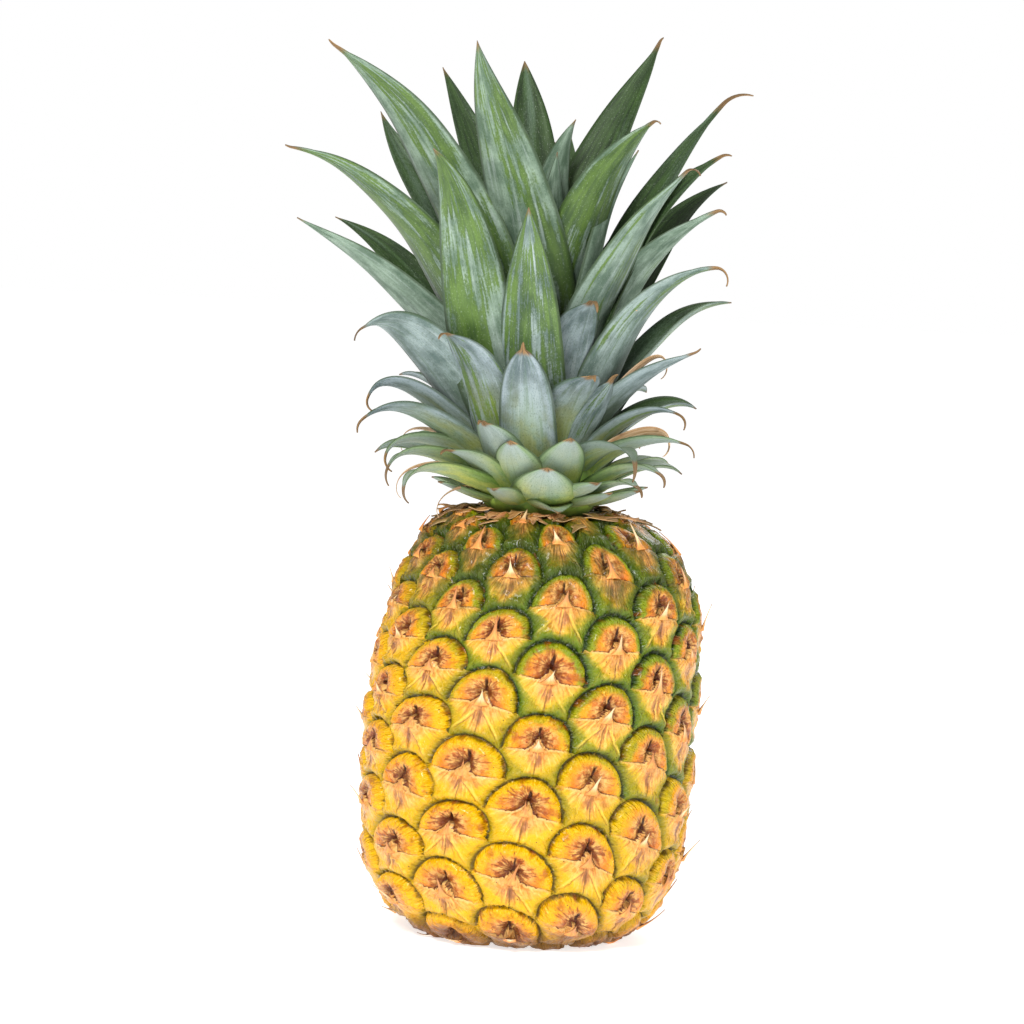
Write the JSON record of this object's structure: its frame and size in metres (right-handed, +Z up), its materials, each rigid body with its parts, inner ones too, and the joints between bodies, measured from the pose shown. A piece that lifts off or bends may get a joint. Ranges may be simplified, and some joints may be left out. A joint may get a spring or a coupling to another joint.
{
  "type": "pineapple",
  "caption": "Whole ripe pineapple standing on its base: barrel-shaped fruit covered in spiral eyes with pointed bracts, and an upright crown of arching sword leaves.",
  "frame": {"origin": "middle of the flat spot that the fruit stands on", "axes": "+Z up along the fruit's axis towards the crown, -Y towards the front of the fruit, +X to its right"},
  "size_m": [0.1633, 0.1396, 0.3295],
  "materials": {
    "rind": "satin",
    "foliage": "satin",
    "cut_pith": "matte"
  },
  "bodies": {
    "root": {"fruit": "rind", "crown": "foliage", "stalk": "cut_pith"}
  },
  "joints": []
}
